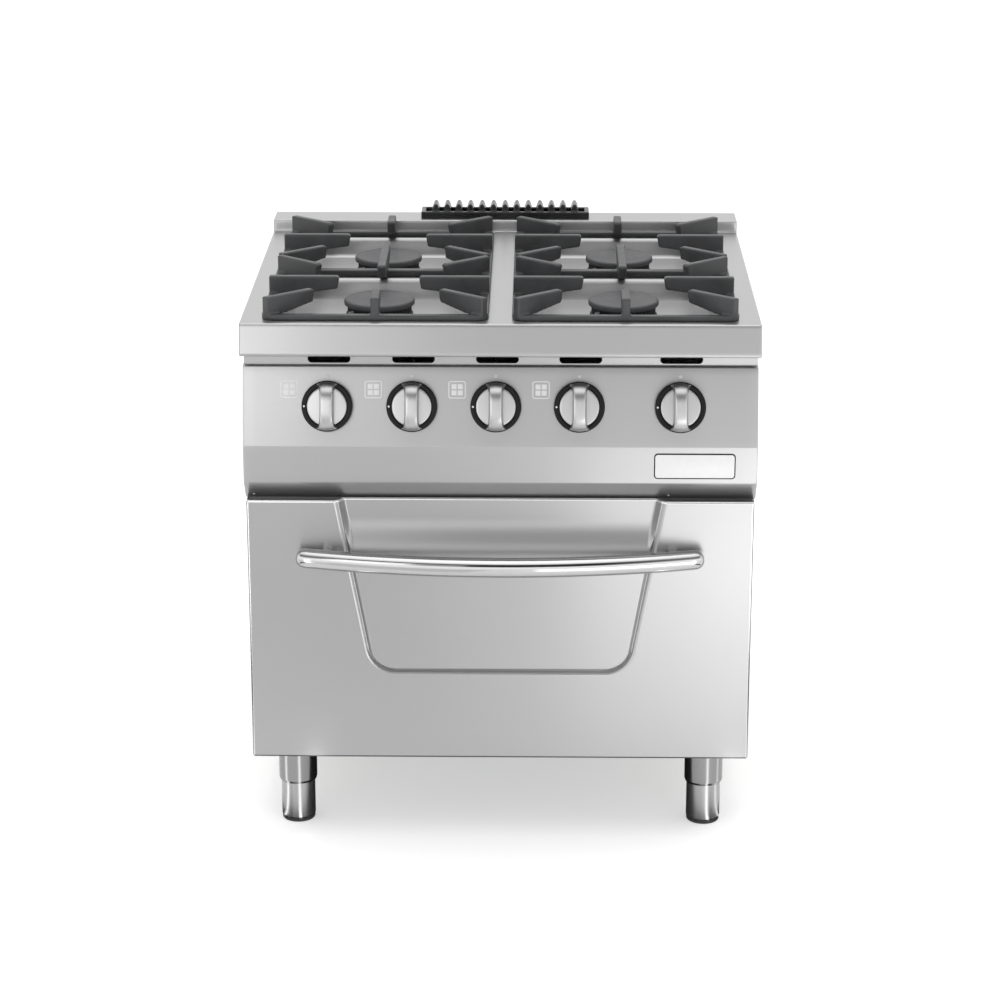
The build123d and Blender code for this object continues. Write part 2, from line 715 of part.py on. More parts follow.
# Counterbalance springs run back from the hinges along the oven's sides.
with BuildPart() as door_springs:
    for x in (-350, 350):
        with BuildLine():
            coil = Helix(
                pitch=11,
                height=121,
                radius=8,
                center=(x, FRONT + 62, 178),
                direction=(0, 1, 0),
            )
        with BuildSketch(Plane(origin=coil @ 0, z_dir=coil % 0)):
            Circle(1.6)
        sweep(path=coil, is_frenet=True)
save(door_springs, "door_springs")

# ---------------------------------------------------------------- knobs and spindles
SKIRT_LOW = 4.5
SKIRT_TOP = 16.0
GRIP_TOP = 36.0
for number, x in enumerate(KNOB_XS, start=1):
    with BuildPart() as spindle:
        with BuildSketch(panel_plane(x, -48)):
            Circle(4.0)
        extrude(amount=48 + 13)
    save(spindle, f"tap_spindle_{number}")

    with BuildPart() as skirt:
        with BuildSketch(panel_plane(x, SKIRT_LOW)):
            Circle(39.3)
        extrude(amount=SKIRT_TOP - SKIRT_LOW)
        chamfer(skirt.edges().filter_by(GeomType.CIRCLE).sort_by(Axis.Y)[0], 2)
        with BuildSketch(panel_plane(x, SKIRT_LOW)):
            Circle(4.08)
        extrude(amount=9.5, mode=Mode.SUBTRACT)
        with BuildSketch(panel_plane(x, SKIRT_LOW)):
            Circle(36)
            Circle(12, mode=Mode.SUBTRACT)
        extrude(amount=5, mode=Mode.SUBTRACT)
    save(skirt, f"knob_skirt_{number}")

    with BuildPart() as grip:
        with BuildSketch(panel_plane(x, SKIRT_TOP + 0.05)):
            Circle(30.5)
        extrude(amount=2.5)
        centre = panel_plane(x)
        side = Plane(origin=centre.origin, x_dir=PANEL_UP, z_dir=(1, 0, 0))
        with BuildSketch(side.offset(-10.5)):
            with BuildLine():
                Polyline((-38, SKIRT_TOP + 5), (-38, SKIRT_TOP + 0.05), (38, SKIRT_TOP + 0.05), (38, SKIRT_TOP + 5))
                ThreePointArc((38, SKIRT_TOP + 5), (0, GRIP_TOP), (-38, SKIRT_TOP + 5))
            make_face()
        extrude(amount=21)
    save(grip, f"knob_grip_{number}")
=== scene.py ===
import bpy
import bmesh
import json
import math
from mathutils import Matrix, Vector


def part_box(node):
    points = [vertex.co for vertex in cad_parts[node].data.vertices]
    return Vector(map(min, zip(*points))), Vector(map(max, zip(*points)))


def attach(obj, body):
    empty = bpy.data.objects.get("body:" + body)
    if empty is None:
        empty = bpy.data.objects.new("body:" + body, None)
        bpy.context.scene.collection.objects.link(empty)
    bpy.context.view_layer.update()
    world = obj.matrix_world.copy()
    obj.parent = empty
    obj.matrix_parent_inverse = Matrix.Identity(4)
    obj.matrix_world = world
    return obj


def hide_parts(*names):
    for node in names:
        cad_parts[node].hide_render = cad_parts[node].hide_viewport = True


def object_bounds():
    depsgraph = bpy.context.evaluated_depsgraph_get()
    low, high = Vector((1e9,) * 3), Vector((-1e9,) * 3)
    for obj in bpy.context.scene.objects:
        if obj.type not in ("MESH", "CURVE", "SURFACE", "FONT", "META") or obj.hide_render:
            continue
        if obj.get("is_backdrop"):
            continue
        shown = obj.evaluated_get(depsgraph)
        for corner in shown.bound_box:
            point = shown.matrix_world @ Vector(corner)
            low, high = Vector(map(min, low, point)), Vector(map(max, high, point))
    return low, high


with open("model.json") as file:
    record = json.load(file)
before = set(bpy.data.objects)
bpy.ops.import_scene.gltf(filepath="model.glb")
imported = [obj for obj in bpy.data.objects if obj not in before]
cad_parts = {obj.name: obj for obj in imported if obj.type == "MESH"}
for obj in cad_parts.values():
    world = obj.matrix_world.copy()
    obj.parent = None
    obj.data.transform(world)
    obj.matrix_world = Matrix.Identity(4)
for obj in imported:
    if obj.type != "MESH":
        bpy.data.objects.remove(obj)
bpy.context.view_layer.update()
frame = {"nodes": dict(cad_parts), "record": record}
scene = bpy.context.scene
MM = 0.001
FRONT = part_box("door_skin")[0].y


# ---------------------------------------------------------------- material helpers
class Nodes:
    """A node material with a Principled shader; methods add and link nodes."""

    def __init__(self, name):
        self.mat = bpy.data.materials.new(name)
        self.mat.use_nodes = True
        self.tree = self.mat.node_tree
        self.shader = self.tree.nodes["Principled BSDF"]

    def add(self, kind, **values):
        node = self.tree.nodes.new(kind)
        for key, value in values.items():
            if key in node.inputs:
                node.inputs[key].default_value = value
            else:
                setattr(node, key, value)
        return node

    def link(self, source, target):
        self.tree.links.new(source, target)

    def set(self, **values):
        for key, value in values.items():
            self.shader.inputs[key.replace("_", " ")].default_value = value

    def coords(self, scale):
        place = self.add("ShaderNodeTexCoord")
        mapping = self.add("ShaderNodeMapping")
        mapping.inputs["Scale"].default_value = scale
        self.link(place.outputs["Object"], mapping.inputs["Vector"])
        return mapping.outputs["Vector"]

    def noise(self, scale, detail=3.0, rough=0.55):
        node = self.add("ShaderNodeTexNoise", Scale=1.0, Detail=detail, Roughness=rough)
        self.link(self.coords(scale), node.inputs["Vector"])
        return node.outputs["Fac"]

    def ramp(self, source, low, high, a=0.3, b=0.7):
        """Maps a 0..1 value to a range of numbers or colours."""
        node = self.add("ShaderNodeValToRGB")
        first, last = node.color_ramp.elements
        first.position, last.position = a, b
        first.color = as_colour(low)
        last.color = as_colour(high)
        self.link(source, node.inputs["Fac"])
        return node.outputs["Color"]

    def bump(self, height, strength, distance):
        node = self.add("ShaderNodeBump", Strength=strength, Distance=distance)
        self.link(height, node.inputs["Height"])
        self.link(node.outputs["Normal"], self.shader.inputs["Normal"])


def as_colour(value):
    if isinstance(value, (int, float)):
        return (value, value, value, 1)
    return (*value[:3], 1)


def brushed(name, base, rough, streak=(9, 2400, 2400), aniso=0.0, depth=0.00006, tint=0.02):
    """Stainless sheet with a fine grain drawn along the short axis of the streak scale."""
    n = Nodes(name)
    fine = n.noise(streak, detail=4, rough=0.65)
    broad = n.noise((1.6, 2.2, 2.4), detail=2)
    low = [c * (1 - tint) for c in base]
    high = [min(1, c * (1 + tint)) for c in base]
    cloud = n.ramp(broad, low, high)
    grain = n.ramp(fine, 0.975, 1.0, 0.35, 0.65)
    shade = n.add("ShaderNodeMix", data_type="RGBA", blend_type="MULTIPLY")
    shade.inputs[0].default_value = 1
    n.link(cloud, shade.inputs[6])
    n.link(grain, shade.inputs[7])
    n.link(shade.outputs[2], n.shader.inputs["Base Color"])
    n.link(n.ramp(fine, rough - 0.02, rough + 0.02), n.shader.inputs["Roughness"])
    n.set(Metallic=1.0, Anisotropic=aniso)
    if aniso:
        across = n.add("ShaderNodeCombineXYZ", X=0.0, Y=0.35, Z=1.0)
        n.link(across.outputs[0], n.shader.inputs["Tangent"])
    n.bump(fine, 0.08, depth)
    return n.mat


def plain_metal(name, base, rough, scale=60, depth=0.00015, spread=0.06):
    n = Nodes(name)
    grain = n.noise((scale,) * 3, detail=4)
    n.link(
        n.ramp(grain, [c * (1 - spread) for c in base], [min(1, c * (1 + spread)) for c in base]),
        n.shader.inputs["Base Color"],
    )
    n.link(n.ramp(grain, rough - 0.06, rough + 0.06), n.shader.inputs["Roughness"])
    n.set(Metallic=1.0)
    n.bump(grain, 0.3, depth)
    return n.mat


def cast_iron(name, base, rough=0.5, scale=900):
    """Sand-cast iron under matt enamel: pebbled surface, with lighter and darker rubbed patches at random."""
    n = Nodes(name)
    sand = n.noise((scale,) * 3, detail=3, rough=0.6)
    worn = n.noise((24, 24, 24), detail=4)
    n.link(
        n.ramp(worn, [c * 0.8 for c in base], [c * 1.3 for c in base]),
        n.shader.inputs["Base Color"],
    )
    n.link(n.ramp(worn, rough - 0.07, rough + 0.09), n.shader.inputs["Roughness"])
    n.set(Metallic=0.0)
    n.shader.inputs["Specular IOR Level"].default_value = 0.45
    n.bump(sand, 0.55, 0.0008)
    return n.mat


def dull(name, base, rough, scale=200, depth=0.0002, spread=0.12, spec=0.5):
    """Moulded plastic, rubber, enamel, wool and rope: a mottled dielectric."""
    n = Nodes(name)
    grain = n.noise((scale,) * 3, detail=4)
    n.link(
        n.ramp(grain, [c * (1 - spread) for c in base], [min(1, c * (1 + spread)) for c in base]),
        n.shader.inputs["Base Color"],
    )
    n.link(
        n.ramp(grain, max(0.05, rough - 0.06), min(1, rough + 0.06)),
        n.shader.inputs["Roughness"],
    )
    n.shader.inputs["Specular IOR Level"].default_value = spec
    n.bump(grain, 0.35, depth)
    return n.mat


STEEL = (0.39, 0.39, 0.39)
EVEN_GRAIN = (60, 60, 60)
MATERIALS = {
    "brushed_stainless": brushed("brushed_stainless", STEEL, 0.34, aniso=0.7),
    "polished_stainless": brushed("polished_stainless", (0.48,) * 3, 0.12, EVEN_GRAIN, depth=0.000005),
    # The door's fold: a bright copy of the steel is a painted highlight, and a dark copy is painted shade.
    "folded_edge": brushed("folded_edge", (0.66,) * 3, 0.20, EVEN_GRAIN, depth=0.00001),
    "shaded_edge": brushed("shaded_edge", (0.11,) * 3, 0.30, EVEN_GRAIN, depth=0.00001),
    "leg_steel": brushed("leg_steel", (0.27,) * 3, 0.20, (2200, 2200, 12), depth=0.00003),
    "galvanised_steel": plain_metal("galvanised_steel", (0.50, 0.51, 0.52), 0.42, 34),
    "black_cast_iron": cast_iron("black_cast_iron", (0.035, 0.036, 0.038), 0.44, 620),
    "flue_black": cast_iron("flue_black", (0.010, 0.010, 0.011), 0.26, 500),
    "burner_iron": cast_iron("burner_iron", (0.046, 0.047, 0.050), 0.50, 700),
    # The burner crowns: their own black iron, made darker than the caps as painted shade under the caps'
    # overhang.
    "crown_black_and_painted_shade": cast_iron("crown_black_and_painted_shade", (0.014, 0.014, 0.015), 0.55, 700),
    "dark_enamel": dull("dark_enamel", (0.045, 0.05, 0.06), 0.22, 320, 0.00006),
    "plate_white": dull("plate_white", (0.60, 0.60, 0.60), 0.35, 90, 0.00003, 0.02),
    "brass": plain_metal("brass", (0.72, 0.53, 0.24), 0.30, 120),
    "copper": plain_metal("copper", (0.78, 0.42, 0.26), 0.28, 90),
    "cast_aluminium": plain_metal("cast_aluminium", (0.60, 0.60, 0.61), 0.5, 260, 0.0003),
    "mineral_wool": dull("mineral_wool", (0.55, 0.49, 0.28), 0.95, 420, 0.002, 0.3, 0.1),
    "gasket_rope": dull("gasket_rope", (0.10, 0.10, 0.095), 0.9, 500, 0.001, 0.3, 0.2),
    "bright_wire": plain_metal("bright_wire", (0.75, 0.75, 0.76), 0.16, 80, 0.00005),
    "spring_steel": plain_metal("spring_steel", (0.40, 0.40, 0.41), 0.35, 90),
    "black_rubber": dull("black_rubber", (0.022, 0.022, 0.022), 0.6, 700, 0.0002),
    "black_plastic": dull("black_plastic", (0.007, 0.007, 0.008), 0.34, 900, 0.00006, spec=0.14),
    "panel_print": dull("panel_print", (0.60, 0.60, 0.60), 0.5, 90, 0.00002, 0.04),
    "satin_silver": brushed("satin_silver", (0.43,) * 3, 0.36, (1800, 20, 20), depth=0.00003),
}
slot_of = {s["node"]: s["material_slot"] for s in frame["record"]["subparts"]}
look_of = dict(slot_of, flue_cover="flue_black", leg_sleeves="leg_steel", pilot_burners="spring_steel")
for name, obj in frame["nodes"].items():
    for index in range(max(1, len(obj.material_slots))):
        if not obj.material_slots:
            obj.data.materials.append(None)
        obj.material_slots[index].material = MATERIALS[look_of[name]]

# ---------------------------------------------------------------- mesh helpers
def at(x, depth, z):
    """A point from X, the depth behind the door front and the height, all in mm."""
    return Vector((x * MM, FRONT + depth * MM, z * MM))


def mesh_piece(name, verts, faces, slot, body, *replaced, shade=40):
    mesh = bpy.data.meshes.new(name)
    mesh.from_pydata([tuple(v) for v in verts], [], faces)
    work = bmesh.new()
    work.from_mesh(mesh)
    bmesh.ops.remove_doubles(work, verts=work.verts, dist=1e-6)
    bmesh.ops.recalc_face_normals(work, faces=work.faces)
    work.to_mesh(mesh)
    work.free()
    mesh.shade_smooth()
    mesh.set_sharp_from_angle(angle=math.radians(shade))
    obj = bpy.data.objects.new(name, mesh)
    scene.collection.objects.link(obj)
    obj.data.materials.append(MATERIALS[slot])
    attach(obj, body)
    if replaced:
        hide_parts(*replaced)
    return obj


def join_parts(*parts):
    verts, faces = [], []
    for v, f in parts:
        start = len(verts)
        verts.extend(v)
        faces.extend([tuple(start + i for i in face) for face in f])
    return verts, faces


def grid_faces(rows, columns, closed=False):
    faces = []
    for i in range(rows - 1):
        for j in range(columns if closed else columns - 1):
            k = (j + 1) % columns
            faces.append((i * columns + j, i * columns + k, (i + 1) * columns + k, (i + 1) * columns + j))
    return faces


def lathe(outline, matrix, steps=96):
    """An outline of (radius, height) in metres turned about the matrix's Z axis."""
    verts = []
    for r, h in outline:
        for k in range(steps):
            a = 2 * math.pi * k / steps
            verts.append(matrix @ Vector((r * math.cos(a), r * math.sin(a), h)))
    return verts, grid_faces(len(outline), steps, closed=True)


def smooth_step(a, b, t):
    t = min(1.0, max(0.0, (t - a) / (b - a)))
    return t * t * (3 - 2 * t)


def spaced(a, b, step):
    count = max(1, round(abs(b - a) / step))
    return [a + (b - a) * k / count for k in range(count + 1)]


def rounded_path(points, radii, longest=None, steps=4):
    """Points (u, v) and left-hand normals along a bent line whose inner corners are rounded."""
    path = [Vector(points[0])]
    for i in range(1, len(points) - 1):
        p, before, after = Vector(points[i]), Vector(points[i - 1]), Vector(points[i + 1])
        a, b = (before - p).normalized(), (after - p).normalized()
        half = a.angle(b) / 2
        reach = radii[i - 1] / math.tan(half)
        centre = p + (a + b).normalized() * radii[i - 1] / math.sin(half)
        start, end = p + a * reach - centre, p + b * reach - centre
        turn = start.angle_signed(end)
        for k in range(steps + 1):
            angle = -turn * k / steps
            path.append(centre + Vector((
                start.x * math.cos(angle) - start.y * math.sin(angle),
                start.x * math.sin(angle) + start.y * math.cos(angle),
            )))
    path.append(Vector(points[-1]))
    if longest:
        fine = [path[0]]
        for p in path[1:]:
            q = fine[-1]
            count = max(1, math.ceil((p - q).length / longest))
            fine.extend(q.lerp(p, k / count) for k in range(1, count + 1))
        path = fine
    out = []
    for i, p in enumerate(path):
        t = Vector((0, 0))
        if i:
            t += (p - path[i - 1]).normalized()
        if i < len(path) - 1:
            t += (path[i + 1] - p).normalized()
        t.normalize()
        out.append((p.x, p.y, -t.y, t.x))
    return out


def folded_sheet(path, half, radius, close_at, xs, lower=None):
    """A bent sheet along X with rounded ends; the end cheeks close down to close_at."""
    columns = []
    steps, cheek = 4, radius + 1.5
    for k in range(steps):
        a = math.pi / 2 * (steps - k) / steps
        columns.append((-half + radius - radius * math.sin(a), radius * (1 - math.cos(a))))
    columns += [(x, 0.0) for x in xs]
    for k in range(1, steps + 1):
        a = math.pi / 2 * k / steps
        columns.append((half - radius + radius * math.sin(a), radius * (1 - math.cos(a))))
    verts = []
    for d, z, nd, nz in path:
        for x, inset in columns:
            drop = lower(x, d, z) if lower and inset == 0 else 0.0
            verts.append(at(x, d - nd * inset, z - nz * inset - drop))
    width = len(columns)
    faces = grid_faces(len(path), width)
    for side, edge in ((-half, 0), (half, width - 1)):
        rim = [i * width + edge for i in range(len(path))]
        ring = []
        for d, z, nd, nz in path:
            ring.append(len(verts))
            verts.append(at(side, d - nd * cheek, z - nz * cheek))
        for i in range(len(path) - 1):
            faces.append((rim[i], rim[i + 1], ring[i + 1], ring[i]))
        corners = []
        for d, z in close_at:
            corners.append(len(verts))
            verts.append(at(side, d, z))
        faces.append(tuple(ring + corners))
    return verts, faces


def swept_tube(points, radii, steps):
    """A tube through points with a radius at each; a tiny radius closes an end."""
    verts = []
    up = Vector((0, 0, 1))
    for i, p in enumerate(points):
        t = (points[min(i + 1, len(points) - 1)] - points[max(i - 1, 0)]).normalized()
        side = t.cross(up).normalized()
        top = side.cross(t).normalized()
        for k in range(steps):
            a = 2 * math.pi * k / steps
            verts.append(p + side * (radii[i] * math.cos(a)) + top * (radii[i] * math.sin(a)))
    return verts, grid_faces(len(points), steps, closed=True)


# ---------------------------------------------------------------- oven door skin
low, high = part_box("door_skin")
DOOR_HALF, DOOR_Z0, DOOR_Z1 = high.x / MM, low.z / MM, high.z / MM
# The skin's top edge stands this much above the solid door's.
DOOR_LIFT = 4.5
# The folded edge round the skin, the depth to which its returns reach and how much the top one leans.
FOLD_RADIUS, FOLD_STEPS, FAN_STEPS = 3.2, 5, 5
RETURN_DEPTH, RETURN_LEAN = 36, 0.42
# Where the lower return is cut out for the hinge arms, as distances from the middle.
HINGE_CUT = (347, 364)
# The tapered field: half its width at its lower edge, that edge's height, its slope and its corners.
FIELD_HALF, FIELD_Z0 = 201, 285
FIELD_SLOPE = math.atan2(58.0, 317.0)
FIELD_SIDE = (math.cos(FIELD_SLOPE), -math.sin(FIELD_SLOPE))
FIELD_CORNER = 44.0
GROOVE_LIP, GROOVE_LIP_SLOPE = 2.1, 0.55
SCOOP_DEPTH, SCOOP_Z0, SCOOP_RISE = 16.0, 474, 66


def field_distance(x, z):
    """Signed distance in mm to the tapered centre field of the door, negative inside."""
    x = abs(x)
    to_side = (x - FIELD_HALF) * FIELD_SIDE[0] + (z - FIELD_Z0) * FIELD_SIDE[1]
    to_bottom = FIELD_Z0 - z
    cz = FIELD_Z0 + FIELD_CORNER
    cx = FIELD_HALF + (-FIELD_CORNER - (cz - FIELD_Z0) * FIELD_SIDE[1]) / FIELD_SIDE[0]
    qx, qz = x - cx, z - cz
    alpha = qx / FIELD_SIDE[0]
    beta = -qz + alpha * FIELD_SIDE[1]
    if alpha > 0 and beta > 0:
        return math.hypot(qx, qz) - FIELD_CORNER
    return max(to_side, to_bottom)


def door_depth(x, z):
    """How far the pressed front lies behind its flat face, in mm."""
    d = field_distance(x, z)
    half = 5.3 + 0.9 * smooth_step(300, 520, z)
    steep = 1.75 - 0.9 * smooth_step(289, 325, z)
    lip = GROOVE_LIP_SLOPE * min(max(0.0, half - abs(d)), GROOVE_LIP)
    groove = lip + steep * max(0.0, half - GROOVE_LIP - abs(d))
    rise = min(1.0, max(0.0, (z - SCOOP_Z0) / SCOOP_RISE))
    eased = rise**3 * (6 * rise * rise - 15 * rise + 10)
    scoop = SCOOP_DEPTH * eased * (1 - smooth_step(-11.0, 2.0, d))
    return max(groove, scoop)


def door_front():
    """The pressed face of the door with its returns, and its fold in two parts: one with a painted highlight,
    one with painted shade.
    """
    radius, steps = FOLD_RADIUS, FOLD_STEPS
    edge_x, top = DOOR_HALF - radius, DOOR_Z1 + DOOR_LIFT - radius
    # The rows and columns are closest where the groove runs.
    zs = spaced(DOOR_Z0 + radius, 276, 3.4)[:-1] + spaced(276, 331, 0.85)[:-1]
    zs += spaced(331, 470, 3.2)[:-1] + spaced(470, top, 1.7)

    def columns(z):
        side = FIELD_HALF + (z - FIELD_Z0) * math.tan(FIELD_SLOPE)
        knots = [
            (0, side - 58, 40), (side - 58, side - 13, 36), (side - 13, side + 8, 30), (side + 8, edge_x, 44),
        ]
        half = [a + (b - a) * k / count for a, b, count in knots for k in range(count)] + [edge_x]
        return [-x for x in reversed(half[1:])] + half

    rows = [columns(z) for z in zs]
    verts = [at(x, door_depth(x, z), z) for z, xs in zip(zs, rows) for x in xs]
    face = verts, grid_faces(len(zs), len(rows[0]))
    border = [(x, zs[0], 0, -1) for x in rows[0][:-1]]
    border += [(edge_x, z, 1, 0) for z in zs[:-1]]
    border += [(x, zs[-1], 0, 1) for x in reversed(rows[-1][1:])]
    border += [(-edge_x, z, -1, 0) for z in reversed(zs[1:])]
    # Each corner gets a fan of columns so that the outline turns smoothly.
    ring = []
    for i, (x, z, nx, nz) in enumerate(border):
        px, pz = border[i - 1][2], border[i - 1][3]
        turns = [(nx, nz)]
        if (px, pz) != (nx, nz):
            start = math.atan2(pz, px)
            angles = [start + math.pi / 2 * k / FAN_STEPS for k in range(FAN_STEPS + 1)]
            turns = [(math.cos(a), math.sin(a)) for a in angles]
        for ux, uz in turns:
            base = door_depth(x, z)
            column = []
            for k in range(steps + 1):
                a = math.pi / 2 * k / steps
                out, back = radius * math.sin(a), radius * (1 - math.cos(a))
                column.append(at(x + ux * out, base + back, z + uz * out))
            # The top return leans down towards the back, clear of the panel above it.
            near, far = max(base, SCOOP_DEPTH) + radius + 1, RETURN_DEPTH
            fall = RETURN_LEAN * max(0.0, uz)
            column.append(at(x + ux * radius, near, z + uz * radius - fall * (near - base - radius)))
            column.append(at(x + ux * radius, far, z + uz * radius - fall * (far - base - radius)))
            ring.append((column, x, uz))
    fold = [column[:steps + 1] for column, x, uz in ring]
    sides = [column[steps:] for column, x, uz in ring]
    returns = []
    for i in range(len(ring)):
        j = (i + 1) % len(ring)
        cut = any(HINGE_CUT[0] < abs(ring[n][1]) < HINGE_CUT[1] for n in (i, j))
        notch = ring[i][2] < -0.9 and cut
        for k in range(0 if notch else 2):
            returns.append((3 * i + k, 3 * j + k, 3 * j + k + 1, 3 * i + k + 1))
    lit, shaded = [], []
    for a in range(len(ring)):
        b = (a + 1) % len(ring)
        # Painted shade: the outer half of the fold at the sides, and all of it along the bottom, gets a dark
        # copy of the steel; the rest of the fold gets a bright copy, a painted highlight.
        shade_from = 0 if ring[b][2] < -0.5 else 2 if ring[b][2] < 0.5 else steps
        for k in range(steps):
            p, q = a * (steps + 1) + k, b * (steps + 1) + k
            (shaded if k >= shade_from else lit).append((p, q, q + 1, p + 1))
    pressed = join_parts(face, ([v for column in sides for v in column], returns))
    fold_verts = [v for column in fold for v in column]
    return pressed, used_only(fold_verts, lit), used_only(fold_verts, shaded)


def used_only(verts, faces):
    """The same faces with only the points that they use."""
    order = sorted({i for face in faces for i in face})
    place = {old: new for new, old in enumerate(order)}
    return [verts[i] for i in order], [tuple(place[i] for i in face) for face in faces]


door_face, door_highlight_edge, door_shaded_edge = door_front()
mesh_piece("oven_door_front", *door_face, "brushed_stainless", "oven_door", "door_skin", shade=50)
# The fold's bright part is a painted highlight and its dark part is painted shade.
mesh_piece("oven_door_highlight_edge", *door_highlight_edge, "folded_edge", "oven_door", shade=50)
mesh_piece("oven_door_shaded_edge", *door_shaded_edge, "shaded_edge", "oven_door", shade=50)

# ---------------------------------------------------------------- bowed door handle
HANDLE_HALF, HANDLE_BOW, HANDLE_R, HANDLE_Z = 317.0, 45.0, 15.5, 481.0
HANDLE_TIP, TIP_STEPS = 15.0, 8
HANDLE_ARC = (HANDLE_HALF**2 + HANDLE_BOW**2) / (2 * HANDLE_BOW)
HANDLE_NOSE = (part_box("door_handle")[0].y - FRONT) / MM + HANDLE_R


def handle_point(x):
    return at(x, HANDLE_NOSE + HANDLE_ARC - math.sqrt(HANDLE_ARC**2 - x * x), HANDLE_Z)


def handle_tip(side):
    """Positions and radii over one domed end, from where the dome starts to its point."""
    tip = []
    for k in range(1, TIP_STEPS + 1):
        a = math.pi / 2 * k / TIP_STEPS
        x = side * (HANDLE_HALF - HANDLE_TIP + HANDLE_TIP * math.sin(a))
        tip.append((x, HANDLE_R * math.cos(a) ** 0.8 if k < TIP_STEPS else 0.02))
    return tip


bar = [(x, HANDLE_R) for x in spaced(-HANDLE_HALF, HANDLE_HALF, 7) if abs(x) < HANDLE_HALF - HANDLE_TIP]
bar = handle_tip(-1)[::-1] + bar + handle_tip(1)
handle = swept_tube([handle_point(x) for x, r in bar], [r * MM for x, r in bar], 40)
mesh_piece("bowed_handle", *handle, "polished_stainless", "oven_door", "door_handle", shade=60)

# ---------------------------------------------------------------- hob top with pressed wells
BURNERS = [(x, d) for d in (170.0, 460.0) for x in (-192.5, 192.5)]
HOB_HALF, HOB_Z = 400, 850
WELL_HALF_X, WELL_HALF_D, WELL_CORNER, WELL_DEPTH = 115.0, 90.0, 35.0, 32.0
# The slot in the upstand's top under the flue cover, in metres behind the front and above the floor.
FLUE_SLOT_HALF, FLUE_SLOT_NEAR, FLUE_SLOT_FAR, FLUE_SLOT_Z = 0.12, 0.652, 0.684, 0.869


def well_drop(x, d, z):
    """How far the hob sheet is pressed down at a point of its flat."""
    if z < HOB_Z - 0.1:
        return 0.0
    drop = 0.0
    for bx, bd in BURNERS:
        qx, qd = abs(x - bx) - WELL_HALF_X, abs(d - bd) - WELL_HALF_D
        outside = math.hypot(max(qx, 0), max(qd, 0)) + min(max(qx, qd), 0) - WELL_CORNER
        drop = max(drop, WELL_DEPTH * (1 - smooth_step(-13.0, 3.0, outside)))
    return drop


def over_flue_slot(corner):
    """Whether a corner of the hob sheet lies in the slot under the flue cover."""
    inside = abs(corner.x) < FLUE_SLOT_HALF and FLUE_SLOT_NEAR < corner.y - FRONT < FLUE_SLOT_FAR
    return inside and corner.z > FLUE_SLOT_Z


hob_path = rounded_path(
    [(8, 800), (-3, 800), (11, HOB_Z), (634, HOB_Z), (634, 870), (700, 870), (700, 800)],
    [4.5, 5, 3, 3, 3], longest=3.2,
)
verts, faces = folded_sheet(
    hob_path, HOB_HALF, 2.5, [(697, 800.5), (9, 800.5)], spaced(-397.5, 397.5, 3.2), well_drop
)
slotted = [f for f in faces if not (len(f) == 4 and all(over_flue_slot(verts[i]) for i in f))]
mesh_piece(
    "hob_sheet", verts, slotted, "brushed_stainless", "chassis", "hob_top", "spill_wells", shade=50
)

# ---------------------------------------------------------------- folded control panel
panel_path = rounded_path(
    [(52, 566), (26, 566), (0, 599), (0, 657), (33, 778), (52, 778)], [3, 5, 6, 4.5], longest=12
)
mesh_piece(
    "panel_front", *folded_sheet(panel_path, 398, 1.6, [(52, 776), (52, 568)], spaced(-396.4, 396.4, 20)),
    "brushed_stainless", "chassis", "control_panel", shade=50,
)

# ---------------------------------------------------------------- knobs
# The leaning face starts this high and goes back 33 mm over 121 mm of height.
LEAN_Z0, LEAN_BACK, LEAN_RISE = 657, 33, 121
PANEL_UP = Vector((0, LEAN_BACK, LEAN_RISE)).normalized()
PANEL_OUT = Vector((0, -LEAN_RISE, LEAN_BACK)).normalized()
KNOB_XS = (-266.5, -136.0, -6.5, 122.0, 277.5)
KNOB_Z = 717.0


def panel_matrix(x, z=KNOB_Z):
    """Axes on the leaning panel: X along the range, Y up the panel, Z out of it, in metres."""
    matrix = Matrix((Vector((1, 0, 0)), PANEL_UP, PANEL_OUT)).transposed().to_4x4()
    matrix.translation = at(x, (z - LEAN_Z0) * LEAN_BACK / LEAN_RISE, z)
    return matrix


def mm_outline(points):
    return [(r * MM, h * MM) for r, h in points]


def knob_grip(matrix):
    """Waisted finger bar whose ends flare out over the skirt and bow down to it."""
    rows, base, crown, reach_r = 41, 16.0, 36.0, 37.6
    section = [
        (-1.24, 0), (-1.2, 0.14), (-1.12, 0.5), (-1.04, 0.82), (-1.0, 0.91), (-0.93, 0.965),
        (-0.82, 0.99), (-0.5, 1.0), (0, 1.0), (0.5, 1.0), (0.82, 0.99),
        (0.93, 0.965), (1.0, 0.91), (1.04, 0.82), (1.12, 0.5), (1.2, 0.14), (1.24, 0),
    ]
    verts = []
    for i in range(rows):
        v = -1 + 2 * i / (rows - 1)
        half = 9.4 + 3.0 * abs(v) ** 4
        crest = crown - 16.0 * abs(v) ** 3.4
        for u, h in section:
            reach = math.sqrt(max(0.0, reach_r**2 - (half * u) ** 2))
            top = base + (crest - base) * max(0.0, h) * (1 - 0.9 * max(0.0, abs(v) - 0.94) / 0.06)
            verts.append(matrix @ Vector((half * u * MM, v * reach * MM, top * MM)))
    return verts, grid_faces(rows, len(section))


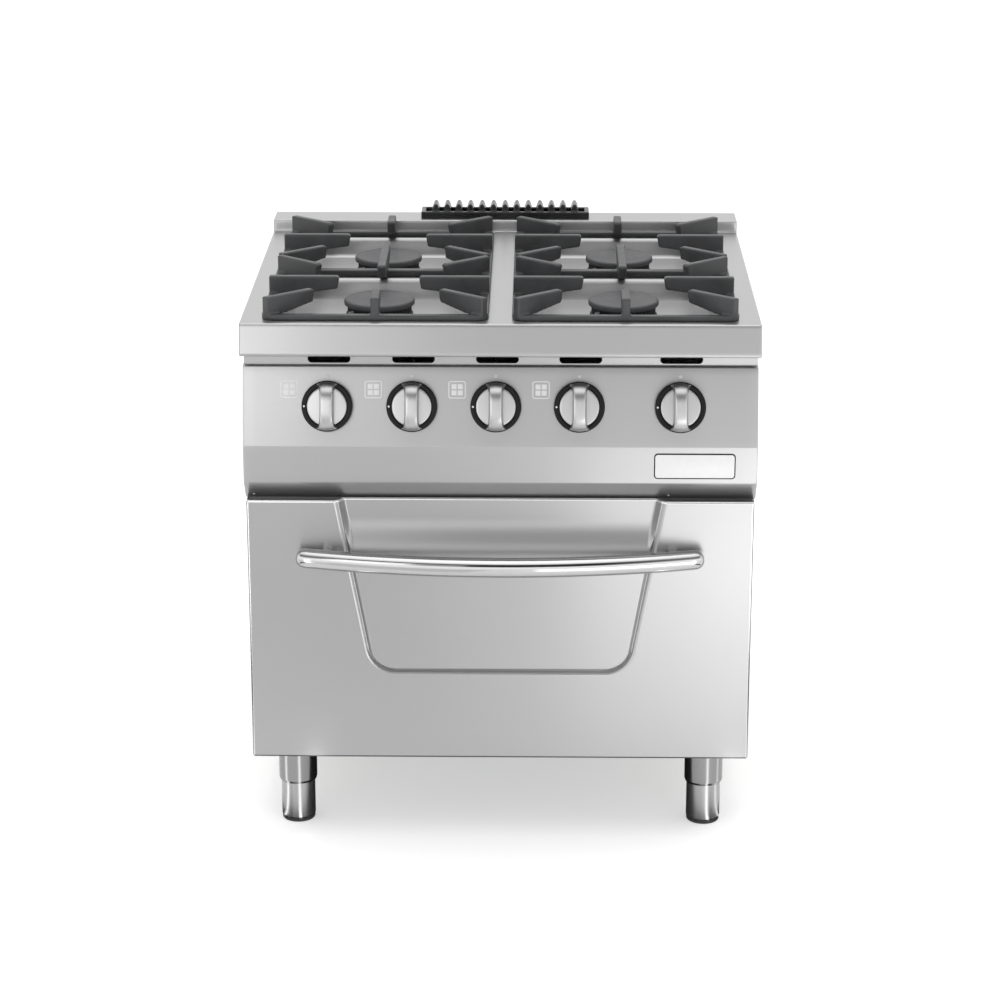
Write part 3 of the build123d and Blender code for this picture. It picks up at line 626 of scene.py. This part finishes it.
for number, x in enumerate(KNOB_XS, start=1):
    body, place = f"knob_{number}", panel_matrix(x)
    ring_name = f"knob_ring_{number}"
    skirt = mm_outline([
        (4.2, 6), (12, 5), (36.6, 4.6), (38.2, 4.7), (39.1, 5.6), (39.3, 6.8), (39.3, 13.2), (39.0, 14.6),
        (38.2, 15.6), (37.0, 15.9), (33.0, 15.9), (31.6, 15.5), (31.0, 14.6),
    ])
    mesh_piece(ring_name, *lathe(skirt, place), "black_plastic", body, f"knob_skirt_{number}", shade=55)
    disc = mm_outline([
        (30.9, 14.8), (30.8, 16.6), (30.2, 17.6), (29.2, 18.1), (27.6, 18.2), (15, 18.5), (0.02, 18.6),
    ])
    mesh_piece(
        f"knob_face_{number}", *join_parts(lathe(disc, place), knob_grip(place)),
        "satin_silver", body, f"knob_grip_{number}", shade=42,
    )
    index = place @ Matrix.Translation((-35.2 * MM, 0, 15.9 * MM))
    dot = mm_outline([(1.5, 0), (1.4, 0.22), (1.0, 0.3), (0.01, 0.3)])
    mesh_piece(f"knob_index_{number}", *lathe(dot, index, 20), "plate_white", body)
    above = panel_matrix(x, KNOB_Z + 45)
    mark = mm_outline([(2.6, 0.02), (2.4, 0.16), (0.01, 0.16)])
    mesh_piece(f"panel_mark_{number}", *lathe(mark, above, 24), "panel_print", "chassis")
screw_place = panel_matrix(KNOB_XS[2]) @ Matrix.Translation((0.6 * MM, -13 * MM, 34.4 * MM))
screw = mm_outline([(1.9, -0.8), (1.9, 0.1), (1.3, 0.35), (1.0, 0.05), (0.01, 0.0)])
mesh_piece("grip_grub_screw", *lathe(screw, screw_place, 20), "black_plastic", "knob_3")


def burner_icon(matrix):
    """Outlined square with four small squares in it, printed on the panel."""
    ink, corner, outer_r, inner_r, pad = 0.12, 10, 3.5, 1.9, 7.7

    def printed(points):
        return [matrix @ Vector((x * MM, y * MM, ink * MM)) for x, y in points]

    outer, inner = [], []
    for sx, sy, a0 in ((1, 1, 0), (-1, 1, 90), (-1, -1, 180), (1, -1, 270)):
        for k in range(6):
            a = math.radians(a0 + 18 * k)
            outer.append((sx * corner + outer_r * math.cos(a), sy * corner + outer_r * math.sin(a)))
            inner.append((sx * corner + inner_r * math.cos(a), sy * corner + inner_r * math.sin(a)))
    count = len(outer)
    frame_faces = [(i, (i + 1) % count, count + (i + 1) % count, count + i) for i in range(count)]
    parts = [(printed(outer + inner), frame_faces)]
    for x in (-8.6, 0.9):
        for y in (-8.6, 0.9):
            square = [(x, y), (x + pad, y), (x + pad, y + pad), (x, y + pad)]
            parts.append((printed(square), [(0, 1, 2, 3)]))
    return join_parts(*parts)


for number, x in enumerate((-326.0, -196.0, -66.5, 63.0), start=1):
    icon = panel_matrix(x, KNOB_Z + 25)
    mesh_piece(f"burner_icon_{number}", *burner_icon(icon), "panel_print", "chassis")

# ---------------------------------------------------------------- blank name plate
def rounded_plate(x, z, w, h, r, front, back, edge):
    """A thin rounded plate facing the front with a softened border."""
    rings = []
    for inset, depth in ((0, back), (0, front + edge), (edge * 0.3, front + edge * 0.3), (edge, front)):
        ring = []
        for cx, cz, a0 in ((1, 1, 0), (-1, 1, 90), (-1, -1, 180), (1, -1, 270)):
            for k in range(9):
                a = math.radians(a0 + 11.25 * k)
                rr = max(0.2, r - inset)
                px = x + cx * (w / 2 - r) + rr * math.cos(a)
                pz = z + cz * (h / 2 - r) + rr * math.sin(a)
                ring.append(at(px, depth, pz))
        rings.append(ring)
    verts = [p for ring in rings for p in ring]
    n = len(rings[0])
    faces = grid_faces(len(rings), n, closed=True)
    faces.append(tuple(range((len(rings) - 1) * n, len(rings) * n)))
    return verts, faces


PLATE_X, PLATE_Z = 301, 627
border = rounded_plate(PLATE_X, PLATE_Z, 126, 41, 6, -1.1, -0.05, 0.5)
mesh_piece("plate_border", *border, "black_plastic", "chassis", "name_plate")
plate = rounded_plate(PLATE_X, PLATE_Z, 122.4, 37.4, 4.6, -1.35, -0.9, 0.3)
mesh_piece("plate_face", *plate, "plate_white", "chassis")

# ---------------------------------------------------------------- burners
for number, (x, d) in enumerate(BURNERS, start=1):
    place = Matrix.Translation(at(x, d, 0))
    cap = mm_outline([
        (23, 834), (23.4, 841.3), (54.0, 841.2), (55.2, 841.7), (55.6, 842.8), (55.6, 846.6), (55.1, 848.3),
        (53.6, 849.5), (51.0, 849.9), (49.2, 849.6), (47.5, 849.4), (20, 849.6), (0.02, 849.6),
    ])
    # The caps are one node of the frame, and so are the heads, so the first of each replaces it.
    old_caps, old_heads = (("burner_caps",), ("burner_heads",)) if number == 1 else ((), ())
    mesh_piece(
        f"burner_cap_disc_{number}", *lathe(cap, place, 128), "burner_iron", "chassis", *old_caps, shade=50
    )
    verts, outline = [], [
        (31, 812), (31, 818.2), (50.5, 818.2), (52.6, 818.6), (53.0, 820), (53.0, 826), (52.2, 827.4),
        (50.6, 828.4), (50.6, 828.9), (50.6, 838.4), (50.6, 838.9), (52.6, 839.6), (52.6, 840.9), (27, 841),
    ]
    steps, port_rows, port_every, port_depth = 144, (8, 9), 3, 3.4
    for row, (r, h) in enumerate(outline):
        for k in range(steps):
            a = 2 * math.pi * k / steps
            port = port_depth if row in port_rows and k % port_every == 0 else 0.0
            rr = (r - port) * MM
            verts.append(place @ Vector((rr * math.cos(a), rr * math.sin(a), h * MM)))
    crown = grid_faces(len(outline), steps, closed=True)
    # The crown's darker iron is partly its own black and partly painted shade under the cap.
    mesh_piece(f"burner_crown_{number}", verts, crown, "crown_black_and_painted_shade", "chassis", *old_heads, shade=30)


# ---------------------------------------------------------------- rounded castings kept from the frame
def recast(node, voxel, rounds):
    """Soft sand-cast corners on a cast iron node."""
    obj = frame["nodes"][node]
    remesh = obj.modifiers.new("remesh", "REMESH")
    remesh.mode = "VOXEL"
    remesh.voxel_size = voxel * MM
    remesh.use_smooth_shade = True
    relax = obj.modifiers.new("relax", "SMOOTH")
    relax.factor = 0.5
    relax.iterations = rounds


recast("grate_left", 1.6, 2)
recast("grate_right", 1.6, 2)
recast("flue_cover", 1.1, 3)


def pan_screw(name, matrix, body="chassis", slot="bright_wire", radius=4.0):
    """A low domed screw head with a round dip in its top."""
    verts, faces = lathe(mm_outline([
        (radius, 0), (radius, radius * 0.18), (radius * 0.9, radius * 0.4), (radius * 0.62, radius * 0.56),
        (radius * 0.34, radius * 0.62), (radius * 0.3, radius * 0.3), (0.01, radius * 0.28),
    ]), matrix, 28)
    mesh_piece(name, verts, faces, slot, body)


under = Vector((0, -33.0, -26.0)).normalized()
for side, x in (("left", -384.0), ("right", 262.0)):
    matrix = Vector((0, 0, 1)).rotation_difference(under).to_matrix().to_4x4()
    matrix.translation = at(x, 20.9, 572.5)
    pan_screw(f"panel_screw_{side}", matrix, slot="spring_steel", radius=2.2)
back = Matrix.Rotation(math.radians(-90), 4, "X")
for row, z in enumerate((190, 400, 600, 775), start=1):
    for side, x in (("left", -386), ("right", 386)):
        matrix = back.copy()
        matrix.translation = at(x, 697, z)
        pan_screw(f"back_screw_{side}_{row}", matrix)
for side, x in (("left", -398.0), ("right", 398.0)):
    for place, d in (("front", 74), ("rear", 670)):
        for level, z in (("low", 142), ("high", 790)):
            matrix = Matrix.Rotation(math.radians(90 if x > 0 else -90), 4, "Y")
            matrix.translation = at(x, d, z)
            pan_screw(f"side_screw_{side}_{place}_{level}", matrix)

# ---------------------------------------------------------------- camera, floor and light
camera_data = bpy.data.cameras.new("camera")
camera = bpy.data.objects.new("camera", camera_data)
scene.collection.objects.link(camera)
scene.camera = camera
camera_data.lens = 106.2
camera_data.clip_end = 60
camera.location = (0.0588, FRONT - 4.350, 2.003)
tilt, yaw = math.radians(18.22), math.radians(-0.775)
look = Vector((math.sin(yaw) * math.cos(tilt), math.cos(yaw) * math.cos(tilt), -math.sin(tilt)))
camera.rotation_euler = look.to_track_quat("-Z", "Y").to_euler()

bpy.ops.mesh.primitive_plane_add(size=30, location=(0, 0, 0))
floor = bpy.context.object
floor.name = "studio_floor"
floor_nodes = Nodes("studio_floor")
floor_nodes.set(Base_Color=(0.62, 0.62, 0.62, 1), Roughness=0.95)
floor_nodes.shader.inputs["Emission Color"].default_value = (1, 1, 1, 1)
floor_nodes.shader.inputs["Emission Strength"].default_value = 0.46
floor.data.materials.append(floor_nodes.mat)
floor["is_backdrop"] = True

# The studio: pale in front near the floor, darker above it, bright behind the range.
world = bpy.data.worlds.new("studio")
scene.world = world
world.use_nodes = True
sky = world.node_tree


def sky_node(kind, **values):
    node = sky.nodes.new(kind)
    for key, value in values.items():
        setattr(node, key, value)
    return node


place = sky_node("ShaderNodeTexCoord")
split = sky_node("ShaderNodeSeparateXYZ")
sky.links.new(place.outputs["Generated"], split.inputs[0])


def sky_ramp(stops):
    ramp = sky_node("ShaderNodeValToRGB")
    elements = ramp.color_ramp.elements
    while len(elements) < len(stops):
        elements.new(0.5)
    for element, (where, value) in zip(elements, stops):
        element.position = where
        element.color = (value, value, value, 1)
    sky.links.new(split.outputs["Z"], ramp.inputs["Fac"])
    return ramp.outputs["Color"]


centre_sky = sky_ramp(
    [(0.0, 1.5), (0.30, 1.75), (0.38, 1.2), (0.43, 0.04), (0.76, 0.04), (0.82, 1.2), (1.0, 2.4)]
)
side_sky = sky_ramp(
    [(0.0, 1.5), (0.32, 1.75), (0.42, 1.1), (0.52, 0.32), (0.68, 0.32), (0.80, 1.2), (1.0, 2.4)]
)
across = sky_node("ShaderNodeMath", operation="ABSOLUTE")
sky.links.new(split.outputs["X"], across.inputs[0])
aside = sky_node("ShaderNodeMapRange")
aside.inputs["From Min"].default_value = 0.24
aside.inputs["From Max"].default_value = 0.48
sky.links.new(across.outputs[0], aside.inputs["Value"])
front = sky_node("ShaderNodeMix", data_type="RGBA")
sky.links.new(aside.outputs["Result"], front.inputs[0])
sky.links.new(centre_sky, front.inputs[6])
sky.links.new(side_sky, front.inputs[7])
front_sky = front.outputs[2]
rear_sky = sky_ramp([(0.0, 1.15), (0.3, 1.3), (0.6, 1.3), (1.0, 2.1)])
facing = sky_node("ShaderNodeMapRange")
facing.inputs["From Min"].default_value = -0.25
facing.inputs["From Max"].default_value = 0.25
sky.links.new(split.outputs["Y"], facing.inputs["Value"])
blend = sky_node("ShaderNodeMix", data_type="RGBA")
sky.links.new(facing.outputs["Result"], blend.inputs[0])
sky.links.new(front_sky, blend.inputs[6])
sky.links.new(rear_sky, blend.inputs[7])
sky.links.new(blend.outputs[2], sky.nodes["Background"].inputs["Color"])
scene.view_settings.view_transform = "Standard"


def softbox(name, place, target, size, radiance):
    """A rectangular light of an even radiance; it is not seen directly."""
    data = bpy.data.lights.new(name, "AREA")
    data.shape = "RECTANGLE"
    data.size, data.size_y = size
    data.energy = radiance * math.pi * size[0] * size[1]
    light = bpy.data.objects.new(name, data)
    scene.collection.objects.link(light)
    light.location = place
    light.rotation_euler = (Vector(target) - Vector(place)).to_track_quat("-Z", "Y").to_euler()
    light.visible_camera = False
    return light


# Panels straight in front of the range at X and Z, and two slim ones aimed inwards from the sides.
for name, x, z, size, radiance in (
    ("right_low_light", 0.65, 0.24, (0.55, 0.42), 2.3),
    ("right_inner_light", 0.26, 0.24, (0.24, 0.42), 1.5),
    ("left_front_light", -0.60, 1.07, (0.40, 0.44), 1.9),
    ("left_inner_light", -0.28, 1.07, (0.24, 0.44), 0.55),
):
    softbox(name, (x, FRONT - 0.9, z), (x, FRONT, z), size, radiance)
for name, side, radiance in (("left_strip_light", -1, 4.0), ("right_strip_light", 1, 3.0)):
    softbox(name, (side * 0.85, FRONT - 0.75, 0.32), (side * 0.2, FRONT, 0.32), (0.10, 0.56), radiance)


def reflected_only(name, corners, faces, material):
    """A stage piece from points measured from the front, which only reflections show."""
    mesh = bpy.data.meshes.new(name)
    mesh.from_pydata([(x, FRONT + y, z) for x, y, z in corners], [], faces)
    mesh.materials.append(material)
    piece = bpy.data.objects.new(name, mesh)
    scene.collection.objects.link(piece)
    piece.visible_camera = piece.visible_diffuse = piece.visible_shadow = False
    piece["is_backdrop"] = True


def studio_board(name, corners, grey):
    reflected_only(name, corners, [(0, 1, 2, 3)], dull(name, (grey, grey, grey), 0.9))


def mat_corners(x0, x1, y0, y1, z):
    return [(x0, y0, z), (x1, y0, z), (x1, y1, z), (x0, y1, z)]


BOARD_NEAR, BOARD_FAR, BOARD_LOW, BOARD_TOP = -0.06, -0.5, 0.01, 0.16
for side, x in (("left", -0.72), ("right", 0.72)):
    outline = [
        (BOARD_FAR, BOARD_LOW), (BOARD_NEAR, BOARD_LOW), (BOARD_NEAR, BOARD_TOP), (BOARD_FAR, BOARD_TOP),
    ]
    studio_board(f"dark_board_{side}", [(x, y, z) for y, z in outline], 0.05)
studio_board("grey_mat_left", mat_corners(-2.2, -0.12, -2.8, -0.55, 0.004), 0.72)
# Painted shade: a near-black sheet under the range, seen only in reflections, stands in for the shade on the
# floor beneath it.
studio_board("painted_shade_mat_under", mat_corners(-0.39, 0.39, 0.01, 0.69, 0.003), 0.02)

LEG_X, LEG_DEPTH = 0.330, 0.077
CARD_REACH, CARD_LOW, CARD_TOP, CARD_HALF_ANGLE = 0.15, 0.005, 0.095, 6.0


def glow_card(name, x, angle, strength):
    """A bright card near a leg and a wedge on the floor before it: an upright band in its steel."""
    corners = [(x, LEG_DEPTH, CARD_LOW)]
    for height in (CARD_LOW, CARD_TOP):
        for side in (-CARD_HALF_ANGLE, CARD_HALF_ANGLE):
            turn = math.radians(angle + side)
            corners.append(
                (x + CARD_REACH * math.sin(turn), LEG_DEPTH - CARD_REACH * math.cos(turn), height)
            )
    glow = Nodes(name)
    glow.shader.inputs["Emission Color"].default_value = (1, 1, 1, 1)
    glow.shader.inputs["Emission Strength"].default_value = strength
    reflected_only(name, corners, [(0, 1, 2), (1, 3, 4, 2)], glow.mat)


for name, x, angle, strength in (
    ("left_leg_glow_front", -LEG_X, 11, 2.6), ("left_leg_glow_side", -LEG_X, -65, 2.6),
    ("right_leg_glow_front", LEG_X, 19, 2.6), ("right_leg_glow_side", LEG_X, 83, 1.6),
):
    glow_card(name, x, angle, strength)

low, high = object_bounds()
